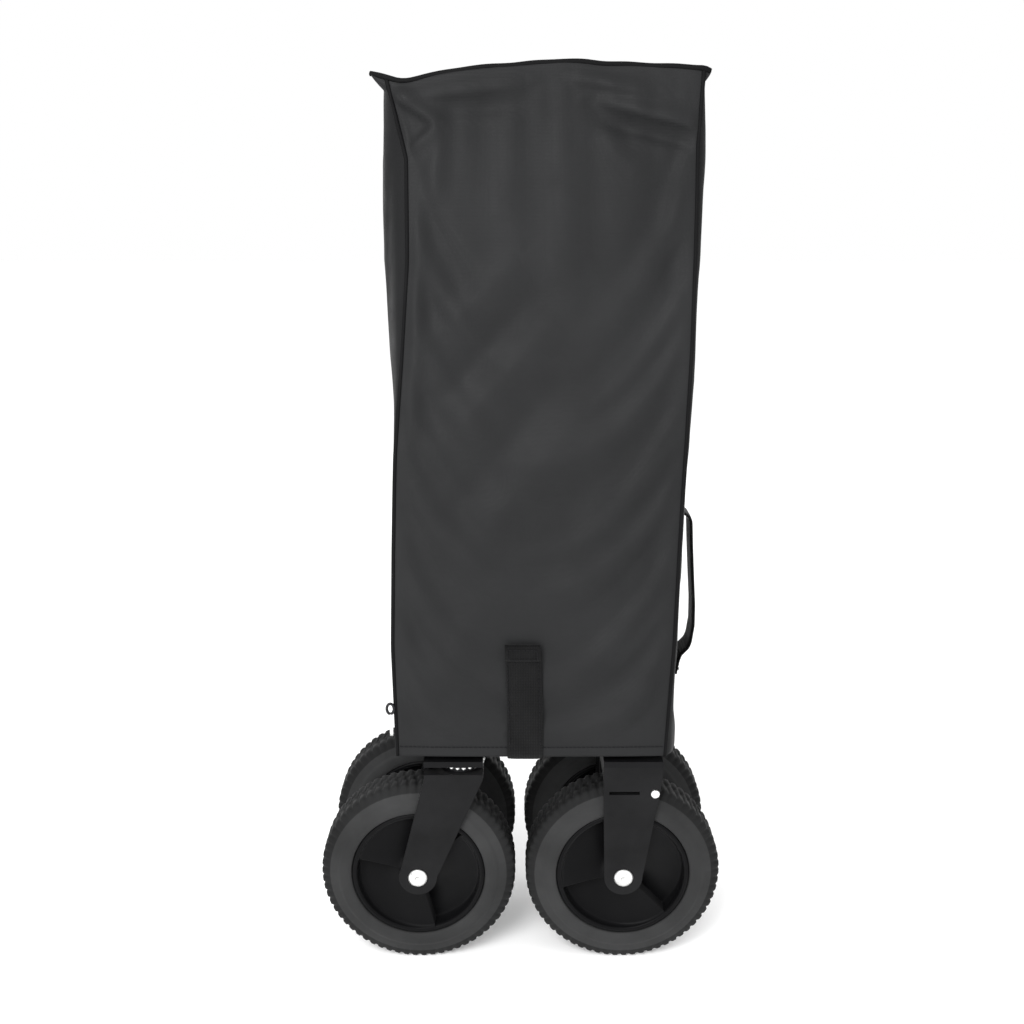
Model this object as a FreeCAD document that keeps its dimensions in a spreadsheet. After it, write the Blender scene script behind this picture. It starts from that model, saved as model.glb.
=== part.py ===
import FreeCAD, Part
import math
import os
import re

# Folding camp wagon, folded flat four ways and standing on its wheels under its storage cover.
# Frame of the model: +X to the rear (fixed wheels), -X to the front (casters and handle),
# -Y is the near side, +Z up.  The origin is on the ground under the middle of the bounding box.
# Every side of the frame is a chain of scissor units.  In each unit arm "a" rises from the start
# post to the end post in the outer plane, and arm "b" rises the other way in the inner plane.

Vector = FreeCAD.Vector
Rotation = FreeCAD.Rotation
Placement = FreeCAD.Placement
X, Y, Z = Vector(1, 0, 0), Vector(0, 1, 0), Vector(0, 0, 1)

SIZES = {
    # wheels
    "wheel_radius": 98, "wheel_width": 46, "rim_radius": 67, "rim_width": 40, "hub_radius": 15,
    "wheel_offset": 103, "half_track": 57, "disc_thickness": 8, "tyre_round": 9,
    "rim_wall": 6, "disc_inset": 3, "hub_overhang": 3, "fan_inset": 4, "fan_rise": 3,
    "fan_step": 4, "fan_angle": 80,
    # clearances, and how far a cutter reaches past what it cuts
    "rivet_gap": 0.2, "bore_gap": 0.1, "bearing_gap": 0.3, "over": 1,
    # posts, and the spacing of one folded scissor unit
    "unit": 81, "rear_post": 103, "half_post": 40.5, "post_radius": 10, "post_bore": 7.8,
    "inner_radius": 7.5, "post_bottom": 270, "post_top": 540, "inner_bottom": 500,
    # arms and their rivets
    "arm_length": 520, "arm_width": 16, "arm_depth": 9, "outer_plane": 28, "inner_plane": 17,
    "rivet_radius": 4, "rivet_hole": 4.1, "head_radius": 7, "head_depth": 2, "rivet_tip": 4.7,
    # corner blocks and upper hubs
    "pivot_level": 255, "block_half": 12, "block_bottom": 225, "hub_half": 14, "boss_radius": 9,
    "boss_end": 23, "plate_depth": 6, "cap_depth": 10, "bore_end": 2,
    # casters and forks
    "trail": 44, "bearing_radius": 22, "fork_inside": 24.5, "fork_wall": 3,
    "fork_top": 211, "fork_crown": 5, "fork_span": 58, "fork_foot": 38, "crown_shift": 7,
    "slot_level": 189.5, "slot_height": 3.5, "slot_length": 30, "slot_offset": 6,
    "cut_reach": 10, "stud_offset": 7, "bolt_radius": 5,
    "bolt_head": 9.8, "bolt_head_depth": 4,
    # pulling handle
    "handle_line": -107, "handle_radius": 8, "handle_bore": 6.3, "handle_low": 505,
    "handle_high": 790, "stem_radius": 6, "stem_low": 560, "stem_high": 815, "grip_radius": 10,
    "grip_length": 92, "ear_gap": 9, "ear_depth": 3, "hinge_radius": 3, "ear_height": 22,
    "ear_reach": 7, "bracket_depth": 4, "bracket_height": 28, "bracket_bite": 0.5,
    "tube_end": 25,
    # folded fabric
    "wall_low": 462, "wall_height": 300, "wall_depth": 7, "floor_low": 262, "floor_height": 183,
    "floor_depth": 8, "floor_length": 56, "wall_inset": 13, "wall_line": 20,
    "wall_half": 18, "front_leaf": 10, "rear_leaf": 70,
    # storage cover
    "cover_low": 231.5, "cover_high": 865, "cover_front": -126, "cover_back": 158,
    "cover_half": 85, "cover_wall": 3, "cover_round": 16, "webbing_width": 34,
    "webbing_depth": 3, "strap_high": 347, "strap_centre": 4, "carry_low": 289, "carry_high": 460,
    "carry_bow": 12, "carry_tab": 20, "carry_stand": 1.5, "strap_gap": 0.5, "strap_drop": 2,
    "pull_level": 283, "pull_radius": 5.2, "pull_eye": 2.6, "pull_depth": 2.4,
    "tongue_width": 4, "tongue_length": 29, "tongue_top": 3,
}

doc = FreeCAD.newDocument("FoldingCampWagon")
sheet = doc.addObject("Spreadsheet::Sheet", "Sizes")
for row, (alias, value) in enumerate(SIZES.items(), start=1):
    sheet.set(f"A{row}", alias)
    sheet.set(f"B{row}", str(value))
    sheet.setAlias(f"B{row}", alias)
doc.recompute()


def size(alias):
    return float(sheet.get(alias))


def bound(text):
    """The expression with each alias read from the sheet."""
    return re.sub(r"[a-z_]+", lambda word: f"Sizes.{word[0]}", text)


def bind(thing, **expressions):
    for key, text in expressions.items():
        if isinstance(text, str):
            thing.setExpression(key, bound(text))
        else:
            setattr(thing, key, text)
    return thing


def place(thing, at, axis=Z, angle=0.0):
    """Puts a piece at three sheet expressions or numbers, turned about an axis."""
    thing.Placement = Placement(Vector(0, 0, 0), Rotation(axis, angle))
    for key, value in zip("xyz", at):
        if isinstance(value, str):
            thing.setExpression(f"Placement.Base.{key}", bound(value))
        else:
            base = thing.Placement.Base
            setattr(base, key, value)
            thing.Placement = Placement(base, thing.Placement.Rotation)
    return thing


def box(length, width, height, at):
    thing = bind(doc.addObject("Part::Box", "box"), Length=length, Width=width, Height=height)
    return place(thing, at)


def cylinder(radius, height, at, axis=Z, angle=0.0):
    thing = bind(doc.addObject("Part::Cylinder", "cylinder"), Radius=radius, Height=height)
    return place(thing, at, axis, angle)


def along_y(radius, height, at, sign=1):
    """A cylinder whose axis runs along +Y, or along -Y."""
    return cylinder(radius, height, at, X, -90 * sign)


def along_x(radius, height, at, sign=1):
    """A cylinder whose axis runs along +X, or along -X."""
    return cylinder(radius, height, at, Y, 90 * sign)


def fuse(*pieces):
    if len(pieces) == 1:
        return pieces[0]
    thing = doc.addObject("Part::MultiFuse", "fuse")
    thing.Shapes = list(pieces)
    thing.Refine = True
    return thing


def cut(base, *tools):
    thing = doc.addObject("Part::Cut", "cut")
    thing.Base = base
    thing.Tool = tools[0] if len(tools) == 1 else fuse(*tools)
    return thing


def group(*pieces):
    """Separate solids kept side by side in one sub-part."""
    thing = doc.addObject("Part::Compound", "group")
    thing.Links = list(pieces)
    return thing


SUBPARTS = []


def subpart(thing, label):
    thing.Label = label
    SUBPARTS.append(thing)
    return thing


FOLD = math.degrees(math.asin(size("unit") / size("arm_length")))
RISE = size("arm_length") * math.cos(math.radians(FOLD))
FRONT_POST = size("rear_post") - 2 * size("unit")
PIVOT = size("pivot_level")
HUB = PIVOT + RISE
CORNERS = {
    "front_near": (FRONT_POST, -1),
    "rear_near": (size("rear_post"), -1),
    "front_far": (FRONT_POST, 1),
    "rear_far": (size("rear_post"), 1),
}
# side: (first post, heading in degrees, outward side of the heading, units)
SIDES = {
    "near": ("front_near", 0, -1, 2),
    "far": ("front_far", 0, 1, 2),
    "front": ("front_near", 90, 1, 1),
    "rear": ("rear_near", 90, -1, 1),
}


def corner_xy(name):
    x, side = CORNERS[name]
    return x, side * size("half_post")


def rivet(plane, level, tip, side, inner_head):
    """A rivet through an arm: its head outside, its shank inward to the tip."""
    outside = f"( {plane} + arm_depth / 2 )"
    start = f"{side} * ( {outside} + head_depth )"
    head = along_y("head_radius", "head_depth", (0, start, level), -side)
    shank = along_y("rivet_radius", f"{outside} - {tip}", (0, f"{side} * {outside}", level), -side)
    pieces = [head, shank]
    if inner_head:
        pieces.append(along_y("head_radius", "head_depth", (0, f"{side} * {tip}", level), -side))
    return fuse(*pieces)


def arm(label, kind, side, ends, centre, where):
    """One flat-oval arm with its own rivets.  ends and centre say what is at each pivot."""
    plane = "outer_plane" if kind == "a" else "inner_plane"
    face = f"{side} * {plane} - arm_depth / 2"
    bar = fuse(
        box("arm_width", "arm_depth", "arm_length", ("-arm_width / 2", face, "-arm_length / 2")),
        along_y("arm_width / 2", "arm_depth", (0, face, "arm_length / 2")),
        along_y("arm_width / 2", "arm_depth", (0, face, "-arm_length / 2")),
    )
    tips = {"post": ("rivet_tip", False), "arm": ("( inner_plane - arm_depth / 2 - rivet_gap )", True)}
    levels = {"-arm_length / 2": ends[0], "arm_length / 2": ends[1], 0: centre}
    bores, rivets = [], []
    for level, what in levels.items():
        own = what in tips
        radius = "rivet_radius" if own else "rivet_hole"
        bores.append(along_y(radius, "arm_depth + 2 * over", (0, f"{face} - over", level)))
        if own:
            rivets.append(rivet(plane, level, tips[what][0], side, tips[what][1]))
    thing = subpart(group(cut(bar, *bores), *rivets), label)
    thing.Placement = where
    return thing


def side_arms(name):
    start, heading, outward, units = SIDES[name]
    x, y = corner_xy(start)
    frame = Placement(Vector(x, y, 0), Rotation(Z, heading))
    for number in range(units):
        middle = Vector((number + 0.5) * size("unit"), 0, PIVOT + RISE / 2)
        tag = f"_{number + 1}" if units > 1 else ""
        first, last = number == 0, number == units - 1
        lean = Placement(middle, Rotation(Y, FOLD))
        low = "post" if first else "arm"
        high = "post" if last else "arm"
        centre = "hole" if name == "front" else "arm"
        arm(f"{name}_rising_arm{tag}", "a", outward, (low, high), centre, frame * lean)
        lean = Placement(middle, Rotation(Y, -FOLD))
        low = "post" if last else "hole"
        high = "post" if first else "hole"
        arm(f"{name}_falling_arm{tag}", "b", outward, (low, high), "hole", frame * lean)


def pivot_block(name, level, half, bossed, cap):
    """A square block round a post axis with a rivet bore on each outer face."""
    x, y = corner_xy(name)
    sx = -1 if "front" in name else 1
    sy = CORNERS[name][1]
    low = level - half if cap else size("block_bottom")
    solid = [box("2 * block_half", "2 * block_half", level + half - low,
                 (f"{x} - block_half", f"{y} - block_half", low))]
    bores = []
    for axis, sign, boss in (("y", sy, bossed[0]), ("x", sx, bossed[1])):
        make = along_y if axis == "y" else along_x
        reach = "boss_end" if boss else "block_half"
        at = (x, y, level)
        if boss:
            solid.append(make("boss_radius", "boss_end", at, sign))
        offset = f"{sign} * ( rivet_tip - rivet_gap )"
        at = (x, f"{y} + {offset}", level) if axis == "y" else (f"{x} + {offset}", y, level)
        bores.append(make("rivet_hole", f"{reach} + over", at, sign))
    if cap:
        solid.append(cylinder("block_half", "cap_depth", (x, y, level + half)))
    return fuse(*solid), bores


def crown_shift(name):
    """How far the fork's crown stands towards the wagon's end from the post."""
    return math.copysign(size("crown_shift"), CORNERS[name][0])


def corner(name, low_boss, high_boss):
    x, y = corner_xy(name)
    sy = CORNERS[name][1]
    wheel_y = sy * size("half_track")
    plate_x = x + crown_shift(name)
    block, bores = pivot_block(name, PIVOT, size("post_bottom") - PIVOT, low_boss, False)
    foot = box("fork_span", "2 * ( fork_inside + fork_wall )", "plate_depth",
               (f"{plate_x} - fork_span / 2", f"{wheel_y} - fork_inside - fork_wall",
                "block_bottom - plate_depth"))
    subpart(cut(fuse(block, foot), *bores), f"{name}_corner_block")
    tube = cylinder("post_radius", "post_top - post_bottom", (x, y, "post_bottom"))
    bore = cylinder("post_bore", "post_top - post_bottom", (x, y, "post_bottom + 2 * bore_end"))
    subpart(cut(tube, bore), f"{name}_post")
    hub, bores = pivot_block(name, HUB, size("hub_half"), high_boss, True)
    stem = cylinder("inner_radius", f"{HUB} - hub_half - inner_bottom", (x, y, "inner_bottom"))
    subpart(group(cut(hub, *bores), stem), f"{name}_upper_hub")


# where each fan-shaped step of a rim starts, in degrees round the axle
FAN_STARTS = (165, -75, 60)


def wheel(name):
    """Tyre and rim; the rim's outer face is three fan-shaped steps round the hub."""
    front = "front" in name
    sy = CORNERS[name][1]
    at_x = "-wheel_offset" if front else "wheel_offset"
    at_y = f"{sy} * half_track"
    shift = f"{at_y} - wheel_width / 2"
    ring = cut(
        along_y("wheel_radius", "wheel_width", (at_x, shift, "wheel_radius")),
        along_y("rim_radius", "wheel_width + 2 * over", (at_x, f"{shift} - over",
                                                         "wheel_radius")),
    )
    doc.recompute()
    tyre = doc.addObject("Part::Fillet", "tyre")
    tyre.Base = ring
    outer = size("wheel_radius")
    tyre.Edges = [
        (number, size("tyre_round"), size("tyre_round"))
        for number, edge in enumerate(ring.Shape.Edges, start=1)
        if hasattr(edge.Curve, "Radius") and abs(edge.Curve.Radius - outer) < 0.01
        and edge.Closed
    ]
    subpart(tyre, f"{name}_tyre")
    shift = f"{at_y} - rim_width / 2"
    barrel = cut(
        along_y("rim_radius", "rim_width", (at_x, shift, "wheel_radius")),
        along_y("rim_radius - rim_wall", "rim_width + 2 * over", (at_x, f"{shift} - over",
                                                                  "wheel_radius")),
    )
    pieces = [
        barrel,
        along_y("rim_radius - disc_inset", "disc_thickness",
                (at_x, f"{at_y} - disc_thickness / 2", "wheel_radius")),
        along_y("hub_radius", "rim_width + 2 * hub_overhang",
                (at_x, f"{at_y} - rim_width / 2 - hub_overhang", "wheel_radius")),
    ]
    for step, start in enumerate(FAN_STARTS):
        thickness = f"( disc_thickness + fan_rise + fan_step * {step} )"
        fan = along_y("rim_radius - fan_inset", thickness,
                      (at_x, f"{at_y} - {thickness} / 2", "wheel_radius"))
        fan.setExpression("Angle", bound("fan_angle"))
        fan.Placement = Placement(fan.Placement.Base, Rotation(Y, -start) * Rotation(X, -90))
        pieces.append(fan)
    bore = along_y("bolt_radius + bore_gap", "wheel_width + 10 * over",
                   (at_x, f"{shift} - 5 * over", "wheel_radius"))
    subpart(cut(fuse(*pieces), bore), f"{name}_rim")


def fork(name):
    """Crown plate over the wheel and two tapering cheeks down to the axle."""
    x = corner_xy(name)[0]
    front = "front" in name
    sy = CORNERS[name][1]
    drop = -size("trail") if front else 0.0
    centre_y = sy * size("half_track")
    half = size("fork_span") / 2
    crown_x = x + crown_shift(name)
    crown_top = size("fork_top") if front else size("block_bottom") - size("plate_depth")
    crown = box("fork_span", "2 * ( fork_inside + fork_wall )",
                crown_top - size("fork_top") + size("fork_crown"),
                (crown_x - half, f"{centre_y} - fork_inside - fork_wall",
                 "fork_top - fork_crown"))
    pieces = [crown]
    for side in (-1, 1):
        cheek = doc.addObject("Part::Wedge", "cheek")
        foot = size("fork_foot") / 2
        inner = size("fork_inside")
        outer = inner + size("fork_wall")
        low, high = sorted((side * inner, side * outer))
        cheek.Ymin, cheek.Ymax = 0, size("fork_top") - size("fork_crown") - size("wheel_radius")
        cheek.Xmin, cheek.Xmax = x + drop - foot, x + drop + foot
        cheek.X2min, cheek.X2max = crown_x - half, crown_x + half
        cheek.Zmin, cheek.Zmax = -high - centre_y, -low - centre_y
        cheek.Z2min, cheek.Z2max = -high - centre_y, -low - centre_y
        cheek.Placement = Placement(Vector(0, 0, size("wheel_radius")), Rotation(X, 90))
        pieces.append(cheek)
        pieces.append(along_y("fork_foot / 2", "fork_wall", (x + drop, centre_y + low,
                                                              "wheel_radius")))
    holes = [along_y("bolt_radius", "2 * ( fork_inside + cut_reach )",
                     (x + drop, f"{centre_y} - fork_inside - cut_reach", "wheel_radius"))]
    if not front:
        holes.append(box("slot_length", "2 * ( fork_inside + cut_reach )", "slot_height",
                         (crown_x - half + size("slot_offset"),
                          f"{centre_y} - fork_inside - cut_reach", "slot_level")))
    body = cut(fuse(*pieces), *holes)
    if not front:
        stud = along_y("rivet_radius", "head_depth",
                       (crown_x + half - size("stud_offset"), f"{centre_y} + {sy} * ( fork_inside + fork_wall )",
                        "slot_level + slot_height / 2"), sy)
        body = group(body, stud)
    subpart(body, f"{name}_fork")
    reach = "( fork_inside + fork_wall )"
    bolt = fuse(
        along_y("bolt_radius", f"2 * {reach}", (x + drop, f"{centre_y} - {reach}",
                                                "wheel_radius")),
        along_y("bolt_head", "bolt_head_depth", (x + drop, f"{centre_y} + {sy} * {reach}",
                                                 "wheel_radius"), sy),
        along_y("bolt_head - over", "bolt_head_depth", (x + drop, f"{centre_y} - {sy} * {reach}",
                                                     "wheel_radius"), -sy),
    )
    subpart(bolt, f"{name}_axle")
    if front:
        height = "block_bottom - plate_depth - fork_top - bearing_gap"
        subpart(cylinder("bearing_radius", height, (x, centre_y, "fork_top + bearing_gap")),
                f"{name}_swivel_bearing")


def handle():
    """Bracket on the front scissor's middle pin, hinged tube, sliding stem and grip."""
    line = size("handle_line")
    level = PIVOT + RISE / 2
    arm_face = FRONT_POST - size("outer_plane") - size("arm_depth") / 2
    tip = FRONT_POST - size("inner_plane") + size("arm_depth") / 2 + size("rivet_gap")
    plate_depth, reach = size("bracket_depth"), size("ear_reach")
    plate = box("bracket_depth", "2 * ( ear_gap + ear_depth )", "bracket_height",
                (f"{arm_face} - bracket_depth - bracket_bite", "-ear_gap - ear_depth",
                 f"{level} - bracket_height / 2"))
    pin = along_x("rivet_radius", f"{tip} - {arm_face} + 2 * over",
                  (f"{arm_face} - over", 0, level))
    pin_head = along_x("head_radius", "head_depth", (tip, 0, level))
    ears = [
        box(arm_face - plate_depth - line + reach, "ear_depth", "ear_height",
            (line - reach, offset, f"{level} - ear_height / 2"))
        for offset in ("ear_gap", "-ear_gap - ear_depth")
    ]
    hinge = along_y("hinge_radius", "2 * ( ear_gap + ear_depth )",
                    (line, "-ear_gap - ear_depth", level))
    subpart(group(fuse(plate, pin, pin_head, *ears), hinge), "handle_bracket")
    tube = cylinder("handle_radius", "handle_high - handle_low", (line, 0, "handle_low"))
    hollow = cylinder("handle_bore", "handle_high - handle_low - tube_end",
                      (line, 0, "handle_low + tube_end + over"))
    eye = along_y("hinge_radius + bore_gap", "4 * handle_radius",
                  (line, "-2 * handle_radius", level))
    subpart(cut(tube, hollow, eye), "handle_tube")
    subpart(cylinder("stem_radius", "stem_high - stem_low", (line, 0, "stem_low")), "handle_stem")
    grip = along_y("grip_radius", "grip_length", (line, "-grip_length / 2",
                                                  "stem_high + grip_radius"))
    subpart(grip, "handle_grip")


def fabric():
    """The folded basket: four walls hung from the upper hubs and two hinged floor leaves."""
    wall = size("wall_depth")
    front, rear = FRONT_POST + size("wall_inset"), size("rear_post") - size("wall_inset")
    for name, low in (("near", "-wall_line - wall_depth"), ("far", "wall_line")):
        subpart(box(rear - front, "wall_depth", "wall_height", (front, low, "wall_low")),
                f"{name}_wall_fabric")
    for name, low in (("front", front), ("rear", rear - wall)):
        subpart(box("wall_depth", "2 * wall_half", "wall_height", (low, "-wall_half", "wall_low")),
                f"{name}_wall_fabric")
    for name, low in (("near", "-wall_half"), ("far", "wall_half - floor_depth")):
        for end in ("front", "rear"):
            subpart(box("floor_length", "floor_depth", "floor_height",
                        (f"{front} + {end}_leaf", low, "floor_low")), f"{name}_{end}_floor_leaf")


def rounded(front, back, half, level, radius):
    """A closed rounded-rectangle wire at one level."""
    x, y = (front + back) / 2, 0
    length, width = back - front, 2 * half
    face = Part.makePlane(length, width, Vector(x - length / 2, y - half, level))
    solid = face.extrude(Vector(0, 0, 1))
    upright = [edge for edge in solid.Edges
               if abs(edge.Vertexes[0].Z - edge.Vertexes[1].Z) > 0.5]
    shape = solid.makeFillet(radius, upright)
    base = min(shape.Faces, key=lambda side: side.CenterOfMass.z)
    return base.OuterWire


def cover():
    """A bag open at the bottom, slightly drawn in at the hem and at the top seam."""
    front, back, half = size("cover_front"), size("cover_back"), size("cover_half")
    low, high, wall = size("cover_low"), size("cover_high"), size("cover_wall")
    # share of the height; how far the front, the rear and each side are drawn in there
    draw = ((0.0, 0.0, 2.0, 2.0), (0.45, 0.5, 1.0, 0.5), (0.92, -1.5, -3.0, 0.0),
            (0.975, -1.0, -2.0, 4.0), (1.0, 5.0, 4.0, 12.0))

    def skin(inset, top):
        """The solid inside the bag's outline, smaller all round by the inset."""
        wires = []
        for share, left, right, side in draw:
            level = low + share * (top - low)
            wires.append(rounded(front + left + inset, back - right - inset,
                                 half - side - inset, level, size("cover_round") - inset))
        return Part.makeLoft(wires, True, True)

    rim, deep = 2 * wall, 5 * wall
    mouth = Part.makeBox(back - front - 2 * rim, 2 * (half - rim), deep + rim,
                         Vector(front + rim, rim - half, low - deep))
    shell = skin(0.0, high).cut(skin(wall, high - wall).fuse(mouth))
    bag = doc.addObject("Part::Feature", "cover")
    bag.Shape = shell
    subpart(bag, "cover_shell")
    depth = "webbing_depth"
    reach = "( cover_half + strap_gap )"
    left = "strap_centre - webbing_width / 2"
    bottom = "cover_low - strap_drop - webbing_depth"
    legs = [
        box("webbing_width", depth, f"strap_high - ( {bottom} )", (left, offset, bottom))
        for offset in (f"-{reach} - webbing_depth", reach)
    ]
    under = box("webbing_width", f"2 * {reach}", depth, (left, f"-{reach}", bottom))
    subpart(fuse(*legs, under), "cover_strap")
    carry_handle()
    zip_pull()


def carry_handle():
    """Bowed webbing loop with two stitched tabs on the rear gusset."""
    wall = size("cover_back") + size("carry_stand")
    low, high, bow = size("carry_low"), size("carry_high"), size("carry_bow")
    depth = size("webbing_depth")
    tab = size("carry_tab")
    width = size("webbing_width")

    def strip(inset):
        """The bow's arc and its three points, nearer the wall by the inset."""
        points = [Vector(wall + depth - inset, -width / 2, low + tab),
                  Vector(wall + depth + bow - inset, -width / 2, (low + high) / 2),
                  Vector(wall + depth - inset, -width / 2, high - tab)]
        return Part.Arc(*points).toShape(), points

    outer, outs = strip(0.0)
    inner, ins = strip(depth)
    rim = Part.Wire([outer, Part.makeLine(outs[2], ins[2]), inner.reversed(),
                     Part.makeLine(ins[0], outs[0])])
    bowed = Part.Face(rim).extrude(Vector(0, width, 0))
    tabs = [Part.makeBox(depth, width, tab, Vector(wall, -width / 2, level))
            for level in (low, high - tab)]
    loop = doc.addObject("Part::Feature", "carry")
    loop.Shape = bowed.multiFuse(tabs).removeSplitter()
    subpart(loop, "carry_handle")


def zip_pull():
    """Small ring and tongue hanging at the foot of the front corner."""
    centre = "cover_front + strap_gap"
    face = "-cover_half - bore_gap - pull_depth"
    disc = along_y("pull_radius", "pull_depth", (centre, face, "pull_level"))
    eye = along_y("pull_eye", "pull_depth + 2 * over", (centre, f"{face} - over", "pull_level"))
    tongue = box("tongue_width", "pull_depth", "tongue_length - tongue_top",
                 (f"{centre} - tongue_width / 2", face, "pull_level - tongue_length"))
    subpart(fuse(cut(disc, eye), tongue), "zip_pull")


for side_name in SIDES:
    side_arms(side_name)
# which pivots of each corner carry an outer-plane arm: (long side, short side)
corner("front_near", (True, True), (False, False))
corner("rear_near", (False, True), (True, False))
corner("front_far", (True, False), (False, True))
corner("rear_far", (False, False), (True, True))
for corner_name in CORNERS:
    wheel(corner_name)
    fork(corner_name)
handle()
fabric()
cover()
doc.recompute()

for thing in doc.Objects:
    if "Invalid" in thing.State or "Error" in thing.State:
        raise RuntimeError(f"{thing.Label} failed: {thing.State}")
for thing in SUBPARTS:
    if thing.Shape.isNull() or not thing.Shape.isValid():
        raise RuntimeError(f"{thing.Label} has no valid shape")
os.makedirs("parts", exist_ok=True)
for thing in SUBPARTS:
    thing.Shape.exportStep(f"parts/{thing.Label}.step")
print(len(SUBPARTS), "sub-parts written")
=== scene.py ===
import math

import bmesh
import bpy
import numpy as np
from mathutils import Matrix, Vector


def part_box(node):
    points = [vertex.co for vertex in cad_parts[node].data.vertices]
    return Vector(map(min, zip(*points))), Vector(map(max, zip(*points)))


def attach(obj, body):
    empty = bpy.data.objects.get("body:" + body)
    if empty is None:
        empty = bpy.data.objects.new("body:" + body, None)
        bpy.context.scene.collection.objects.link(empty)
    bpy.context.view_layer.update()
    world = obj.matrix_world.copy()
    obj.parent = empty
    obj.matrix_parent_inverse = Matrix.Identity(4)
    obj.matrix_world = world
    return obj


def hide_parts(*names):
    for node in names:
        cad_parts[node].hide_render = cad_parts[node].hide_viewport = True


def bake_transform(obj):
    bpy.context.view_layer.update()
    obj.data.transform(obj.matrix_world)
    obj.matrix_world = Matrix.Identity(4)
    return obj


# A folding camp wagon, folded four ways and standing under its storage cover.
# +X is the rear, -X the front, -Y the near side, +Z up.  All sizes are in metres.

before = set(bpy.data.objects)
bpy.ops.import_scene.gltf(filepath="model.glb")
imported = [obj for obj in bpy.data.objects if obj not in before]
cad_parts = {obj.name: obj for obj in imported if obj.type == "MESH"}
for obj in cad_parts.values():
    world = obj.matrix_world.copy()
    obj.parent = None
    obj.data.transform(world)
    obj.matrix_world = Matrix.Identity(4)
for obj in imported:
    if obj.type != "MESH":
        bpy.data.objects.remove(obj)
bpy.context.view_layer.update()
CORNERS = ("front_near", "rear_near", "front_far", "rear_far")
MM = 0.001


# ---------------------------------------------------------------- small helpers

def low(node):
    return Vector(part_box(node)[0])


def high(node):
    return Vector(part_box(node)[1])


def middle(node):
    return (low(node) + high(node)) / 2


def smooth(edge0, edge1, value):
    """0 below edge0, 1 above edge1, and a smooth turn between."""
    share = np.clip((value - edge0) / (edge1 - edge0), 0.0, 1.0)
    return share * share * (3 - 2 * share)


def waves(points, seed, scale, octaves=3):
    """Smooth noise from a few seeded sine waves, about -1 to 1."""
    rng = np.random.default_rng(seed)
    total = np.zeros(len(points))
    for octave in range(octaves):
        for _ in range(5):
            direction = rng.normal(size=points.shape[1])
            direction /= np.linalg.norm(direction)
            phase = rng.uniform(0, 2 * math.pi)
            length = scale / 1.9 ** octave * rng.uniform(0.8, 1.25)
            total += np.sin(points @ direction * 2 * math.pi / length + phase) / 1.9 ** octave
    return total / 5


def make(name, points, faces, material, body):
    """A mesh piece with its material that rides on a body."""
    mesh = bpy.data.meshes.new(name)
    mesh.from_pydata([tuple(p) for p in points], [], [tuple(int(i) for i in f) for f in faces])
    mesh.validate()
    mesh.polygons.foreach_set("use_smooth", [True] * len(mesh.polygons))
    mesh.materials.append(material)
    piece = bpy.data.objects.new(name, mesh)
    bpy.context.scene.collection.objects.link(piece)
    if body:
        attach(piece, body)
    return piece


def grid_faces(rows, columns, closed=False, start=0):
    """Quads of a grid of points stored row by row; closed joins the last column to the first."""
    faces = []
    for row in range(rows - 1):
        for column in range(columns if closed else columns - 1):
            following = (column + 1) % columns
            faces.append((start + row * columns + column, start + row * columns + following,
                          start + (row + 1) * columns + following,
                          start + (row + 1) * columns + column))
    return faces


def orient(piece):
    """Makes every face look outward."""
    shape = bmesh.new()
    shape.from_mesh(piece.data)
    bmesh.ops.recalc_face_normals(shape, faces=shape.faces)
    shape.to_mesh(piece.data)
    shape.free()
    return piece


def apply_modifiers(piece):
    """Turns the modified shape into the piece's own mesh."""
    bpy.context.view_layer.update()
    graph = bpy.context.evaluated_depsgraph_get()
    mesh = bpy.data.meshes.new_from_object(piece.evaluated_get(graph))
    piece.modifiers.clear()
    piece.data = mesh


def thicken(piece, thickness, offset):
    """Gives a sheet its thickness; offset -1 grows it inward, 0 to both sides."""
    modifier = piece.modifiers.new("thickness", "SOLIDIFY")
    modifier.thickness = thickness
    modifier.offset = offset
    apply_modifiers(piece)


def bevel(piece, width):
    """Rounds the sharp edges of a piece."""
    modifier = piece.modifiers.new("edge", "BEVEL")
    modifier.width = width
    modifier.segments = 2
    modifier.limit_method = "ANGLE"
    modifier.angle_limit = math.radians(40)


def revolve(name, profile, centre, steps, material, body, shape=None):
    """Turns (radius, y) points round a line along Y; shape may change each point by its angle."""
    profile = np.asarray(profile, float)
    angles = np.arange(steps) / steps * 2 * math.pi
    radius = np.repeat(profile[:, 0][:, None], steps, axis=1)
    across = np.repeat(profile[:, 1][:, None], steps, axis=1)
    if shape:
        radius, across = shape(radius, across, angles[None, :])
    x = centre[0] + radius * np.cos(angles)
    z = centre[2] + radius * np.sin(angles)
    points = np.stack([x, centre[1] + across, z], axis=-1).reshape(-1, 3)
    faces = grid_faces(len(profile), steps, closed=True)
    return orient(make(name, points, faces, material, body))


def tube_along(path, radius, sides=8):
    """Points and faces of a round tube along a list of points."""
    path = np.asarray(path, float)
    ahead = np.gradient(path, axis=0)
    ahead /= np.linalg.norm(ahead, axis=1)[:, None]
    side = np.cross(ahead, [0.31, 0.83, 0.46])
    side /= np.linalg.norm(side, axis=1)[:, None]
    up = np.cross(side, ahead)
    turn = np.arange(sides) / sides * 2 * math.pi
    ring = side[:, None] * np.cos(turn)[None, :, None] + up[:, None] * np.sin(turn)[None, :, None]
    points = (path[:, None] + radius * ring).reshape(-1, 3)
    faces = grid_faces(len(path), sides, closed=True)
    faces.append(tuple(range(sides)))
    faces.append(tuple(range((len(path) - 1) * sides, len(path) * sides)))
    return points, faces


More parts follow.
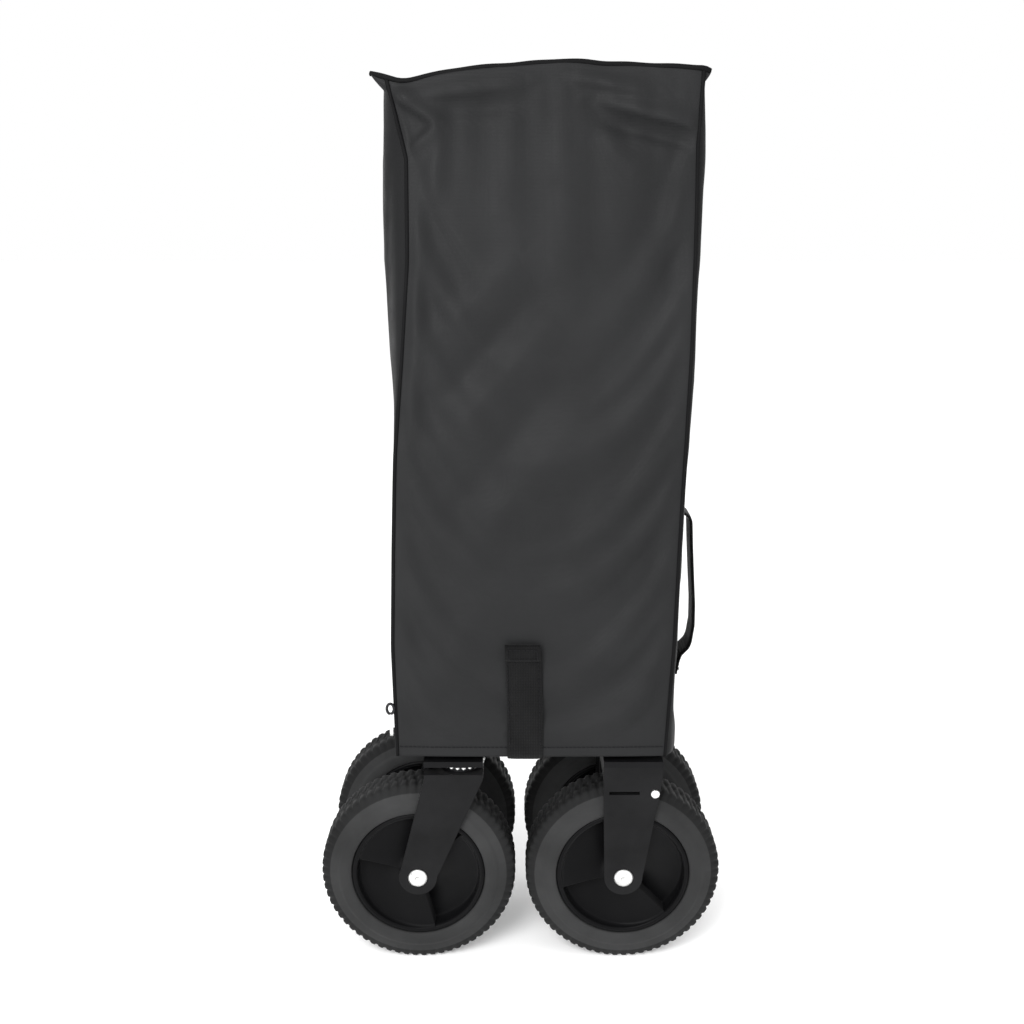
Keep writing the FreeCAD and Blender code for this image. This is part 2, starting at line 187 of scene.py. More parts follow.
def resample(path, spacing):
    path = np.asarray(path, float)
    run = np.concatenate([[0], np.cumsum(np.linalg.norm(np.diff(path, axis=0), axis=1))])
    count = max(2, int(run[-1] / spacing) + 1)
    at = np.linspace(0, run[-1], count)
    return np.stack([np.interp(at, run, path[:, axis]) for axis in range(3)], axis=1)


def stitches(name, paths, outward, body, pitch=4.2 * MM, length=2.9 * MM):
    """A row of short thread dashes that lie along each path."""
    points, faces = [], []
    for path in paths:
        line = resample(path, pitch)
        for start, end in zip(line[:-1], line[1:]):
            ahead = (end - start) / np.linalg.norm(end - start)
            middle_point = (start + end) / 2
            crown = np.asarray(outward, float) * 0.35 * MM
            dash = [middle_point - ahead * length / 2, middle_point - ahead * length / 4 + crown,
                    middle_point + ahead * length / 4 + crown, middle_point + ahead * length / 2]
            ring, quads = tube_along(dash, 0.38 * MM, sides=5)
            faces.extend(tuple(i + len(points) for i in quad) for quad in quads)
            points.extend(ring)
    return orient(make(name, points, faces, THREAD, body))


# ---------------------------------------------------------------- materials

class Nodes:
    """A principled material and short ways to add nodes to it."""

    def __init__(self, name, colour, roughness, metallic=0.0, gloss=0.5, tint=0.15):
        self.material = bpy.data.materials.new(name)
        self.material.use_nodes = True
        self.tree = self.material.node_tree
        self.shader = self.tree.nodes["Principled BSDF"]
        self.shader.inputs["Base Color"].default_value = (*colour, 1)
        self.shader.inputs["Roughness"].default_value = roughness
        self.shader.inputs["Metallic"].default_value = metallic
        self.shader.inputs["Specular IOR Level"].default_value = gloss
        if metallic < 0.5:
            self.shader.inputs["Specular Tint"].default_value = (tint, tint, tint, 1)
        self.place = self.add("ShaderNodeTexCoord").outputs["Object"]
        self.normal = None

    def add(self, kind, **settings):
        node = self.tree.nodes.new(kind)
        for key, value in settings.items():
            setattr(node, key, value)
        return node

    def link(self, source, target):
        self.tree.links.new(source, target)

    def noise(self, scale, detail=4.0, stretch=None):
        node = self.add("ShaderNodeTexNoise")
        node.inputs["Scale"].default_value = scale
        node.inputs["Detail"].default_value = detail
        source = self.place
        if stretch:
            mapping = self.add("ShaderNodeMapping")
            mapping.inputs["Scale"].default_value = stretch
            self.link(source, mapping.inputs["Vector"])
            source = mapping.outputs["Vector"]
        self.link(source, node.inputs["Vector"])
        return node.outputs["Fac"]

    def wave(self, direction, spacing, distortion=0.0):
        node = self.add("ShaderNodeTexWave", wave_type="BANDS", bands_direction=direction)
        node.inputs["Scale"].default_value = 0.314 / spacing
        node.inputs["Distortion"].default_value = distortion
        self.link(self.place, node.inputs["Vector"])
        return node.outputs["Fac"]

    def maths(self, operation, first, second):
        node = self.add("ShaderNodeMath", operation=operation)
        for socket, value in zip(node.inputs, (first, second)):
            if isinstance(value, (int, float)):
                socket.default_value = value
            else:
                self.link(value, socket)
        return node.outputs["Value"]

    def spread(self, source, low_in, high_in, low_out, high_out):
        node = self.add("ShaderNodeMapRange")
        for name, value in (("From Min", low_in), ("From Max", high_in),
                            ("To Min", low_out), ("To Max", high_out)):
            node.inputs[name].default_value = value
        self.link(source, node.inputs["Value"])
        return node.outputs["Result"]

    def colours(self, source, dark, light):
        ramp = self.add("ShaderNodeValToRGB")
        ramp.color_ramp.elements[0].position = 0.3
        ramp.color_ramp.elements[1].position = 0.7
        ramp.color_ramp.elements[0].color = (*dark, 1)
        ramp.color_ramp.elements[1].color = (*light, 1)
        self.link(source, ramp.inputs["Fac"])
        return ramp.outputs["Color"]

    def bump(self, source, strength, distance):
        node = self.add("ShaderNodeBump")
        node.inputs["Strength"].default_value = strength
        node.inputs["Distance"].default_value = distance
        self.link(source, node.inputs["Height"])
        if self.normal:
            self.link(self.normal, node.inputs["Normal"])
        self.normal = node.outputs["Normal"]
        self.link(self.normal, self.shader.inputs["Normal"])


def shade(colour, factor):
    return tuple(channel * factor for channel in colour)


def woven(name, colour, thread, roughness, gloss, crumple=1.0):
    """Coated woven cloth: crossed threads, a soft crumple and slightly uneven dye."""
    nodes = Nodes(name, colour, roughness, gloss=gloss, tint=1.0)
    dye = nodes.noise(9.0, 5.0)
    nodes.link(nodes.colours(dye, shade(colour, 0.86), shade(colour, 1.14)),
               nodes.shader.inputs["Base Color"])
    nodes.link(nodes.spread(nodes.noise(34.0, 3.0), 0.3, 0.7, roughness - 0.07, roughness + 0.07),
               nodes.shader.inputs["Roughness"])
    nodes.bump(nodes.noise(26.0, 4.0), 0.25 * crumple, 2.2 * MM)
    warp = nodes.maths("MAXIMUM", nodes.wave("X", thread), nodes.wave("Y", thread))
    weave = nodes.maths("MULTIPLY", warp, nodes.wave("Z", thread))
    nodes.bump(weave, 0.5, 0.25 * MM)
    return nodes.material


def webbing(name, colour):
    """Ribbed polypropylene webbing."""
    nodes = Nodes(name, colour, 0.62, gloss=0.3)
    nodes.shader.inputs["Sheen Weight"].default_value = 0.03
    nodes.link(nodes.colours(nodes.noise(60.0), shade(colour, 0.8), shade(colour, 1.25)),
               nodes.shader.inputs["Base Color"])
    ribs = nodes.maths("MULTIPLY", nodes.wave("Z", 1.6 * MM), nodes.wave("X", 2.4 * MM, 0.6))
    nodes.bump(ribs, 0.8, 0.5 * MM)
    return nodes.material


def moulded(name, colour, roughness, gloss, grain=220.0, depth=0.12, wear=0.25):
    """Moulded plastic or rubber with a fine texture and patches that are rubbed paler."""
    nodes = Nodes(name, colour, roughness, gloss=gloss)
    nodes.link(nodes.colours(nodes.noise(14.0, 6.0), shade(colour, 1 - wear),
                             shade(colour, 1 + wear)), nodes.shader.inputs["Base Color"])
    nodes.link(nodes.spread(nodes.noise(40.0), 0.3, 0.7, roughness - 0.06, roughness + 0.08),
               nodes.shader.inputs["Roughness"])
    nodes.bump(nodes.noise(grain * 5, 2.0), 0.35, depth * MM)
    return nodes.material


def metal(name, colour, roughness, metallic=1.0, gloss=0.5, grain=(1, 1, 1), wear=0.12):
    """Bare or coated metal with a fine grain."""
    nodes = Nodes(name, colour, roughness, metallic, gloss)
    nodes.link(nodes.colours(nodes.noise(30.0, 6.0, grain), shade(colour, 1 - wear),
                             shade(colour, 1 + wear)), nodes.shader.inputs["Base Color"])
    nodes.link(nodes.spread(nodes.noise(120.0, 3.0, grain), 0.3, 0.7, roughness - 0.06,
                            roughness + 0.1), nodes.shader.inputs["Roughness"])
    nodes.bump(nodes.noise(700.0, 2.0, grain), 0.15, 0.1 * MM)
    return nodes.material


COVER = woven("cover_cloth", (0.0148, 0.0150, 0.0155), 1.1 * MM, 0.5, 0.07)
# the gussets get a darker copy of the cover cloth: painted shade for the sides that turn away from
# the light, not a different fabric
SHADED_GUSSET_CLOTH = woven("gusset_cloth_painted_shade", (0.0102, 0.0103, 0.0107), 1.1 * MM, 0.5, 0.05)
BINDING = woven("binding_tape", (0.005, 0.005, 0.0053), 0.9 * MM, 0.6, 0.05, 0.4)
BASKET = woven("basket_cloth", (0.015, 0.0155, 0.017), 1.6 * MM, 0.6, 0.08)
WEBBING = webbing("webbing", (0.0048, 0.0048, 0.0050))
THREAD = moulded("sewing_thread", (0.010, 0.010, 0.011), 0.7, 0.3, 400.0, 0.05)
TREAD = moulded("tread_rubber", (0.0105, 0.0106, 0.0108), 0.72, 0.5, 160.0, 0.2, 0.3)
TYRE = moulded("tyre_rubber", (0.0225, 0.0227, 0.023), 0.66, 0.6, 160.0, 0.2, 0.3)
WHEEL = moulded("wheel_plastic", (0.0030, 0.0030, 0.0033), 0.4, 0.3, 240.0, 0.08)
PLASTIC = moulded("black_plastic", (0.005, 0.005, 0.0055), 0.45, 0.4, 200.0, 0.12)
GRIP = moulded("grip_rubber", (0.006, 0.006, 0.006), 0.75, 0.5, 300.0, 0.25)
COAT = metal("powder_coat", (0.0068, 0.0068, 0.0072), 0.42, 0.0, 0.45, wear=0.25)
ZINC = metal("zinc", (0.78, 0.78, 0.77), 0.3, 1.0, grain=(1, 1, 4))
STEEL = metal("brushed_steel", (0.3, 0.3, 0.3), 0.35, 1.0, grain=(1, 1, 0.1))
DARK_STEEL = metal("dark_steel", (0.03, 0.03, 0.032), 0.4, 1.0)


# ---------------------------------------------------------------- camera and light

EYE, LOOK_DOWN = (-0.0086, -1.136, 0.755), math.radians(14.8)
LENS, SENSOR = 41.55, 36.0
FLOOR_REACH = 14.0
# name, place, width, power
LAMPS = (("key", (-0.65, -1.6, 1.5), 0.9, 40), ("fill", (1.7, -1.4, 1.2), 1.6, 9),
         ("back", (0.3, 1.9, 1.9), 1.4, 12), ("low_front", (-0.9, -1.7, 0.2), 0.7, 8))


def camera_and_light():
    """The eye stands in front of the upper part of the cover and looks down a little."""
    scene = bpy.context.scene
    data = bpy.data.cameras.new("camera")
    data.lens = LENS
    data.sensor_width = SENSOR
    eye = bpy.data.objects.new("camera", data)
    eye.location = EYE
    eye.rotation_euler = (math.radians(90) - LOOK_DOWN, 0, 0)
    scene.collection.objects.link(eye)
    scene.camera = eye

    world = bpy.data.worlds.new("studio")
    world.use_nodes = True
    world.node_tree.nodes["Background"].inputs["Color"].default_value = (1, 1, 1, 1)
    world.node_tree.nodes["Background"].inputs["Strength"].default_value = 1.0
    scene.world = world
    scene.view_settings.view_transform = "Standard"

    for name, at, width, power in LAMPS:
        lamp = bpy.data.lights.new(name, "AREA")
        lamp.size = width
        lamp.energy = power
        holder = bpy.data.objects.new(name, lamp)
        holder.location = at
        aim = Vector((0, 0, 0.4)) - Vector(at)
        holder.rotation_euler = aim.to_track_quat("-Z", "Y").to_euler()
        scene.collection.objects.link(holder)

    nodes = Nodes("studio_floor", (0.93, 0.93, 0.93), 0.8)
    nodes.link(nodes.colours(nodes.noise(2.0), (0.92, 0.92, 0.92), (0.94, 0.94, 0.94)),
               nodes.shader.inputs["Base Color"])
    nodes.shader.inputs["Emission Color"].default_value = (1, 1, 1, 1)
    nodes.shader.inputs["Emission Strength"].default_value = 0.12
    corners = [(x * FLOOR_REACH, y * FLOOR_REACH, 0) for x, y in ((-1, -1), (1, -1), (1, 1), (-1, 1))]
    make("floor", corners, [(0, 1, 2, 3)], nodes.material, None)


# ---------------------------------------------------------------- storage cover

BAG_LOW, BAG_HIGH = low("cover_shell"), high("cover_shell")
HEM, CROWN = BAG_LOW.z, BAG_HIGH.z - 6 * MM
HALF = BAG_HIGH.y - 1.5 * MM

# height share, front panel's left and right inset, how far each gusset stands out past them (mm)
BAG_STATIONS = np.array([
    (0.00, 7.0, 20.0, 2.0, 18.0),
    (0.18, 5.0, 15.0, 2.0, 11.0),
    (0.33, 8.0, 13.5, 2.0, 7.5),
    (0.43, 10.5, 12.0, 3.5, 9.5),
    (0.48, 12.0, 11.0, 4.5, 11.0),
    (0.55, 16.0, 10.0, 9.0, 13.0),
    (0.62, 20.0, 9.0, 18.0, 14.0),
    (0.76, 27.0, 9.0, 31.5, 15.0),
    (0.90, 28.0, 10.5, 30.0, 14.5),
    (1.00, 12.5, 8.0, 5.0, 4.0),
])
# share along the bag, height of the top seam over the crown (mm)
TOP_LINE = np.array([
    (0.000, -3.5), (0.035, -7.9), (0.075, -7.0), (0.11, -4.2), (0.18, -1.0), (0.26, 2.7),
    (0.37, 4.8), (0.55, 8.4), (0.62, 8.0), (0.68, 6.5), (0.82, 5.1), (0.90, 4.3),
    (1.00, 3.2),
])


def station(share):
    """Insets and bulges of the bag at a height share, in metres, smoothly joined."""
    shares = BAG_STATIONS[:, 0]
    return [np.interp(share, shares, BAG_STATIONS[:, column]) * MM for column in range(1, 5)]


def ridge(x, z, start, end, width, height, gentle):
    """A fold along a line: steep on its lower side, gentle on its upper, thin at its ends."""
    start, end = np.array(start), np.array(end)
    line = end - start
    along = np.clip(((x - start[0]) * line[0] + (z - start[1]) * line[1]) / (line @ line), 0, 1)
    away = np.hypot(x - start[0] - along * line[0], z - start[1] - along * line[1])
    above = (x - start[0]) * line[1] - (z - start[1]) * line[0] < 0
    reach = width * np.where(above, gentle, 1.0)
    taper = 0.25 + 0.75 * np.sin(math.pi * np.clip(along, 0.0, 1.0)) ** 0.7
    return height * taper * np.exp(-(away / reach) ** 2)


# folds that start near the panel's top left and top right corners: start in and down, end in
# and down, width, height, how much softer the upper side is (mm, the last a factor)
LEFT_FOLDS = (
    (2, 12, 20, 66, 4, -7, 1.5), (4, 14, 46, 42, 4, 9, 2.2), (46, 42, 22, 64, 4, 5, 2),
    (48, 44, 40, 110, 9, 4, 1), (10, 22, 120, 10, 5, 5, 2.5), (50, 32, 120, 26, 8, -4, 1),
    (160, 6, 230, 18, 4, 6, 2.5), (170, 20, 222, 68, 12, -4, 1), (115, 155, 30, 235, 13, 4, 1.6),
    (125, 190, 35, 290, 12, -3.6, 1), (150, 205, 40, 330, 13, 3.8, 1.6),
    (160, 250, 50, 390, 14, -3, 1), (175, 290, 60, 430, 15, 3, 1.4), (30, 90, 18, 320, 8, 3.5, 1),
    (80, 480, 30, 560, 16, 2.6, 1.3),
)
RIGHT_FOLDS = (
    (95, 24, 2, 46, 4.5, 9, 2.6), (90, 40, 10, 60, 6, -5, 1), (110, 20, 50, 100, 14, 3.5, 1),
    (50, 90, 20, 180, 14, -3, 1), (40, 300, 120, 470, 22, 2.4, 1.3),
)


def front_folds(x, z):
    """Folds that hang from the top corners, and soft drag lines across the panel."""
    left, right = BAG_LOW.x + 10 * MM, BAG_HIGH.x - 2 * MM
    total = 0
    for corner, sign, folds in ((left, 1, LEFT_FOLDS), (right, -1, RIGHT_FOLDS)):
        for start_in, start_down, end_in, end_down, width, height, gentle in folds:
            start = (corner + sign * start_in * MM, CROWN - start_down * MM)
            end = (corner + sign * end_in * MM, CROWN - end_down * MM)
            total = total + ridge(x, z, start, end, width * MM, height * MM, gentle)
    return total


def bag_corners(share):
    """The four vertical seams at a height share: front left, front right, back right, back left."""
    left, right, _, _ = station(share)
    back = 4 * MM
    return [(BAG_LOW.x + left, -HALF), (BAG_HIGH.x - right, -HALF),
            (BAG_HIGH.x - right - back, HALF), (BAG_LOW.x + left + back, HALF)]


def bag_top(x):
    """Height of the top seams along the bag: lowest at the front ear, highest past the middle."""
    left, right = BAG_LOW.x + BAG_STATIONS[-1, 1] * MM, BAG_HIGH.x - BAG_STATIONS[-1, 2] * MM
    share = np.clip((x - left) / (right - left), 0, 1)
    near = [np.interp(share + step, TOP_LINE[:, 0], TOP_LINE[:, 1]) for step in (-0.02, 0, 0.02)]
    return CROWN + (near[0] + 2 * near[1] + near[2]) / 4 * MM


PANEL_SWELL, RIPPLE, RIPPLE_LENGTH = 2.5 * MM, 1.6 * MM, 0.16


def bag_panel(panel, across, share):
    """Points of one of the bag's four sides; across and share run from 0 to 1."""
    _, _, bulge_left, bulge_right = station(share)
    corners = bag_corners(share)
    start, end = corners[panel], corners[(panel + 1) % 4]
    x = start[0] + (end[0] - start[0]) * across
    y = start[1] + (end[1] - start[1]) * across
    swell = (4 * across * (1 - across)) ** 0.55
    top = bag_top(x)
    z = HEM + (top - HEM) * share
    loose = smooth(0.0, 0.05, across) * smooth(0.0, 0.05, 1 - across)
    spot = np.stack([x * (1 if panel % 2 == 0 else 0) + y * (panel % 2), z * 0.55], axis=-1)
    ripple = waves(spot.reshape(-1, 2), 11 + panel, RIPPLE_LENGTH).reshape(x.shape) * RIPPLE
    ripple = ripple * loose * smooth(0.0, 0.12, share)
    if panel == 0:
        y = y - PANEL_SWELL * swell - ripple
    elif panel == 2:
        y = y + PANEL_SWELL * swell + ripple
    elif panel == 1:
        x = x + bulge_right * swell + ripple * 1.3
    else:
        x = x - bulge_left * swell - ripple * 1.3
    return np.stack([x, y, z], axis=-1)


# how many frames the cloth settles for, and the farthest any point may move from where it was laid
# out
SETTLE_FRAMES, SETTLE_MOST = 22, 4.5 * MM


def cover_shell():
    """Four sewn sides and a top, one continuous cloth, settled by a cloth simulation."""
    rows = 126
    counts = (58, 36, 58, 36)
    share = np.linspace(0, 1, rows)[:, None]
    sides = []
    for panel, count in enumerate(counts):
        across = np.broadcast_to(np.linspace(0, 1, count, endpoint=False)[None, :], (rows, count))
        sides.append(bag_panel(panel, across, np.broadcast_to(share, (rows, count))))
    wall = np.concatenate(sides, axis=1)
    columns = wall.shape[1]
    points = list(wall.reshape(-1, 3))
    faces = grid_faces(rows, columns, closed=True)
    # top: rows run from the front seam to the back seam between the two gussets
    last = (rows - 1) * columns
    front = [last + i for i in range(counts[0] + 1)]
    right = [last + counts[0] + i for i in range(counts[1] + 1)]
    back_start = counts[0] + counts[1]
    back = [last + back_start + counts[2] - i for i in range(counts[2] + 1)]
    left = [last + (back_start + counts[2] + counts[3] - i) % columns for i in range(counts[3] + 1)]
    sheet = {}
    for i in range(counts[0] + 1):
        sheet[i, 0], sheet[i, counts[1]] = front[i], back[i]
    for j in range(counts[1] + 1):
        sheet[0, j], sheet[counts[0], j] = left[j], right[j]
    for i in range(1, counts[0]):
        for j in range(1, counts[1]):
            a, b = i / counts[0], j / counts[1]
            near, far = np.array(points[front[i]]), np.array(points[back[i]])
            spot = near + (far - near) * b
            sag = math.sin(math.pi * b) * (0.5 + 0.5 * math.sin(math.pi * a))
            spot[2] += 5 * MM * sag * math.cos(3 * math.pi * a) * 0.5 - 3 * MM * sag
            sheet[i, j] = len(points)
            points.append(spot)
    for i in range(counts[0]):
        for j in range(counts[1]):
            faces.append((sheet[i, j], sheet[i + 1, j], sheet[i + 1, j + 1], sheet[i, j + 1]))
    piece = make("storage_cover", points, faces, COVER, None)
    piece.data.materials.append(SHADED_GUSSET_CLOTH)
    # the side gusset faces take the darker cloth, a painted shade on the sides of the bag
    for index in range((rows - 1) * columns):
        column = index % columns
        if counts[0] <= column < back_start or column >= columns - counts[3]:
            piece.data.polygons[index].material_index = 1
    orient(piece)
    heights = wall[:, :, 2].reshape(-1)
    seams = np.concatenate([[0], np.cumsum(counts)])[:4]
    pinned = set(int(i) for i in np.flatnonzero(heights < HEM + 4 * MM))
    for seam in seams:
        pinned.update(int(row * columns + seam) for row in range(rows))
    pinned.update(front + back + left + right)
    settle(piece, sorted(pinned))
    finish_cloth(piece)
    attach(piece, "cover")
    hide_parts("cover_shell")
    return piece


def seam_distance(spots):
    """How far each point of the bag is from its nearest seam."""
    x, y, z = spots.T
    left, right, _, _ = station(np.clip((z - HEM) / (bag_top(x) - HEM), 0, 1))
    to_side = np.minimum(x - BAG_LOW.x - left, BAG_HIGH.x - right - x)
    depths = np.sort(np.stack([HALF - np.abs(y), to_side, bag_top(x) - z]), axis=0)
    return np.maximum(depths[1], 0)


def settle(piece, pinned):
    """Lets the cloth crumple a little between its seams, then keeps that shape."""
    rest = np.array([v.co for v in piece.data.vertices])
    group = piece.vertex_groups.new(name="seams")
    group.add(pinned, 1.0, "REPLACE")
    cloth = piece.modifiers.new("settle", "CLOTH")
    cloth.settings.quality = 5
    cloth.settings.mass = 0.12
    cloth.settings.tension_stiffness = 12
    cloth.settings.compression_stiffness = 12
    cloth.settings.shear_stiffness = 5
    cloth.settings.bending_stiffness = 3.5
    cloth.settings.vertex_group_mass = "seams"
    cloth.settings.shrink_min = -0.012
    cloth.collision_settings.use_collision = False
    cloth.point_cache.frame_start = 1
    cloth.point_cache.frame_end = SETTLE_FRAMES
    scene = bpy.context.scene
    for number in range(1, SETTLE_FRAMES + 1):
        scene.frame_set(number)
    apply_modifiers(piece)
    scene.frame_set(1)
    moved = np.array([v.co for v in piece.data.vertices])
    shift = moved - rest
    length = np.linalg.norm(shift, axis=1)[:, None]
    shift *= np.minimum(1.0, SETTLE_MOST / np.maximum(length, 1e-9))
    shift *= smooth(3 * MM, 24 * MM, seam_distance(rest))[:, None]
    shift *= smooth(6 * MM, 45 * MM, rest[:, 2] - HEM)[:, None]
    # the front gusset sinks in by a fifth only, so that the pulling handle inside stays hidden
    inward = (rest[:, 0] < 0) & (np.abs(rest[:, 1]) < HALF - 4 * MM) & (shift[:, 0] > 0)
    shift[inward, 0] *= 0.2
    piece.data.vertices.foreach_set("co", (rest + shift).reshape(-1))
    piece.data.update()
    piece.vertex_groups.clear()


def press_folds(piece):
    """Moves the front and back panels out or in along their folds, but not at the seams."""
    spots = np.array([v.co for v in piece.data.vertices])
    x, y, z = spots.T
    share = np.clip((z - HEM) / (bag_top(x) - HEM), 0, 1)
    left, right, _, _ = station(share)
    across = (x - BAG_LOW.x - left) / (BAG_HIGH.x - right - BAG_LOW.x - left)
    loose = smooth(0.0, 0.04, across) * smooth(0.0, 0.04, 1 - across) * smooth(0.0, 0.02, 1 - share)
    panel = smooth(HALF - 22 * MM, HALF - 12 * MM, np.abs(y)) * loose
    front = front_folds(x, z)
    back = front_folds(BAG_LOW.x + BAG_HIGH.x - x, z) * 0.6
    spots[:, 1] += np.where(y < 0, -front, back) * panel
    # the strap holds the cloth in
    strap_low, strap_high = low("cover_strap"), high("cover_strap")
    beside = np.maximum(strap_low.x - x, x - strap_high.x)
    above = z - strap_high.z
    limit = HALF + 2.8 * MM + 14 * MM * smooth(0, 14 * MM, np.maximum(beside, above))
    spots[:, 1] = np.clip(spots[:, 1], -limit, limit)
    piece.data.vertices.foreach_set("co", spots.reshape(-1))
    piece.data.update()


def finish_cloth(piece):
    """Smooths the cloth, presses its folds in and gives it its thickness."""
    modifier = piece.modifiers.new("finer", "SUBSURF")
    modifier.levels = modifier.render_levels = 1
    apply_modifiers(piece)
    press_folds(piece)
    thicken(piece, 1.1 * MM, -1.0)
    for polygon in piece.data.polygons:
        polygon.use_smooth = True


def seam_line(corner, count=70):
    """The line of one vertical seam, just inside the corner so that the tape wraps it."""
    line = []
    for share in np.linspace(0, 1, count):
        x, y = bag_corners(share)[corner]
        out_x = 0.5 * MM if corner in (0, 3) else -0.5 * MM
        out_y = 0.5 * MM if corner in (0, 1) else -0.5 * MM
        line.append((x + out_x, y + out_y, HEM + (bag_top(x) - HEM) * share))
    return line


def bound_edge(name, path, width, body):
    """A seam bound in folded tape: a flat-oval band that follows the seam."""
    line = resample(path, 4 * MM)
    points, faces = tube_along(line, width / 2, sides=10)
    return orient(make(name, points, faces, BINDING, body))


def cover_trim():
    """Bound seams, the two pointed ends of each top seam and the stitching of the hem."""
    for number, corner in enumerate(("front_left", "front_right", "back_right", "back_left")):
        bound_edge(f"cover_seam_{corner}", seam_line(number), 3.8 * MM, "cover")
    for side, y_sign in (("front", -1), ("back", 1)):
        first, last = (0, 1) if y_sign < 0 else (3, 2)
        corners = bag_corners(1.0)
        start, end = corners[first][0], corners[last][0]
        xs = np.linspace(start, end, 50)
        y = y_sign * (HALF + 0.2 * MM)
        seam = [(x, y, bag_top(x) - 0.2 * MM + 0.3 * MM * math.sin(x * 160)) for x in xs]
        ear_front = [(start - 13 * MM, y - y_sign * 5 * MM, bag_top(start) + 3 * MM),
                     (start - 6 * MM, y - y_sign * 2 * MM, bag_top(start) + 1.5 * MM)]
        ear_back = [(end + 5 * MM, y - y_sign * 2 * MM, bag_top(end) - 2.5 * MM)]
        bound_edge(f"cover_top_seam_{side}", ear_front + seam + ear_back, 4.4 * MM, "cover")
        for tag, at, reach, rise in (("front", start, -13 * MM, 3 * MM),
                                     ("rear", end, 6 * MM, -3 * MM)):
            ear(f"cover_ear_{side}_{tag}", at, y, y_sign, reach, rise)
    across = np.linspace(0.01, 0.99, 60)
    for side, panel in (("front", 0), ("back", 2)):
        hem = bag_panel(panel, across, np.full(60, 0.0))
        outward = np.array([0, -1 if panel == 0 else 1, 0])
        line = hem + outward * 0.5 * MM + np.array([0, 0, 10 * MM])
        stitches(f"cover_hem_stitching_{side}", [line], outward, "cover")


def ear(name, x, y, y_sign, reach, rise):
    """The pointed end of a bound seam: a small pinched triangle of doubled cloth."""
    top = bag_top(x)
    sign = math.copysign(1.0, reach)
    rows, columns = 9, 7
    points = []
    for i in range(rows):
        t = i / (rows - 1)
        for j in range(columns):
            s = j / (columns - 1)
            height = (15 * MM * (1 - t) ** 0.8) * s
            points.append((x + reach * t - sign * 3 * MM * (1 - t),
                           y - y_sign * (3 * MM * t + 2.5 * MM * math.sin(math.pi * s) * (1 - t)),
                           top + rise * t - height))
    piece = make(name, points, grid_faces(rows, columns), COVER, "cover")
    thicken(piece, 1.4 * MM, 0.0)


def ribbon(name, path, width, thickness, across, body, replaces=None,
           finish=None):
    """A flat strap along a path; across is the direction of its width."""
    line = resample(path, 3 * MM)
    across = np.array(across, float)
    ahead = np.gradient(line, axis=0)
    ahead /= np.linalg.norm(ahead, axis=1)[:, None]
    outward = np.cross(ahead, across)
    outline = []
    for share in np.linspace(-1, 1, 11):
        edge = 1 - 0.55 * abs(share) ** 6
        outline.append((share * width / 2, thickness / 2 * edge))
    for share in np.linspace(1, -1, 11):
        edge = 1 - 0.55 * abs(share) ** 6
        outline.append((share * width / 2, -thickness / 2 * edge))
    points = []
    for spot, out in zip(line, outward):
        for wide, deep in outline:
            points.append(spot + across * wide + out * deep)
    faces = grid_faces(len(line), len(outline), closed=True)
    faces.append(tuple(range(len(outline))))
    faces.append(tuple(range((len(line) - 1) * len(outline), len(line) * len(outline))))
    piece = orient(make(name, points, faces, finish or WEBBING, body))
    if replaces:
        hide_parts(replaces)
    return piece


def cover_strap():
    """The wide strap sewn to the front panel that goes under the frame and up the back."""
    lowest, highest = low("cover_strap"), high("cover_strap")
    x = (lowest.x + highest.x) / 2
    width = highest.x - lowest.x
    out = HALF + 4.6 * MM
    bottom = lowest.z + 1.3 * MM
    lean = 2.5 * MM
    path = [(x - lean, -out, highest.z), (x, -out - 0.4 * MM, (highest.z + bottom) / 2)]
    for step in range(6):
        turn = math.radians(step * 18)
        path.append((x, -out + 9 * MM * (1 - math.cos(turn)), bottom + 9 * MM * (1 - math.sin(turn))))
    for step in range(1, 8):
        path.append((x, -out + 9 * MM + (2 * out - 18 * MM) * step / 8, bottom))
    for step in range(6):
        turn = math.radians(90 - step * 18)
        path.append((x, out - 9 * MM * (1 - math.cos(turn)), bottom + 9 * MM * (1 - math.sin(turn))))
    path.extend([(x, out + 0.4 * MM, (highest.z + bottom) / 2), (x - lean, out, highest.z)])
    ribbon("cover_closing_strap", path, width, 2.2 * MM, (1, 0, 0), "cover",
           replaces="cover_strap")
    fold = [(x - lean, -out - 1.9 * MM, highest.z - 15 * MM),
            (x - lean, -out - 2.1 * MM, highest.z - 4 * MM), (x - lean, -out - 1.2 * MM, highest.z),
            (x - lean, -out + 0.6 * MM, highest.z + 1 * MM)]
    ribbon("cover_strap_fold", fold, width, 1.8 * MM, (1, 0, 0), "cover")
    edge = width / 2 - 3 * MM
    y = -out - 3.2 * MM
    top, foot = highest.z - 3 * MM, highest.z - 13 * MM
    box = [(x - lean - edge, y, top), (x - lean + edge, y, top), (x - lean + edge, y, foot),
           (x - lean - edge, y, foot), (x - lean - edge, y, top)]
    stitches("cover_strap_stitching", [box], (0, -1, 0), "cover")
    sides = []
    for sign in (-1, 1):
        side_x = x + sign * (width / 2 - 2.2 * MM)
        sides.append([(side_x - lean, -out - 1.3 * MM, foot - 2 * MM),
                      (side_x, -out - 1.7 * MM, HEM + 14 * MM)])
    stitches("cover_strap_edge_stitching", sides, (0, -1, 0), "cover")


# share of the carry handle's height, how far it stands out of the gusset (mm)
HANDLE_LINE = ((0.0, -3.0), (0.05, -1.8), (0.09, -0.3), (0.12, 1.5), (0.165, 8.6), (0.20, 10.8),
               (0.30, 13.0), (0.43, 12.6), (0.60, 10.4), (0.80, 8.0), (0.93, 6.8), (0.965, 4.6),
               (0.985, -1.0), (1.0, -4.0), (1.03, -5.5))


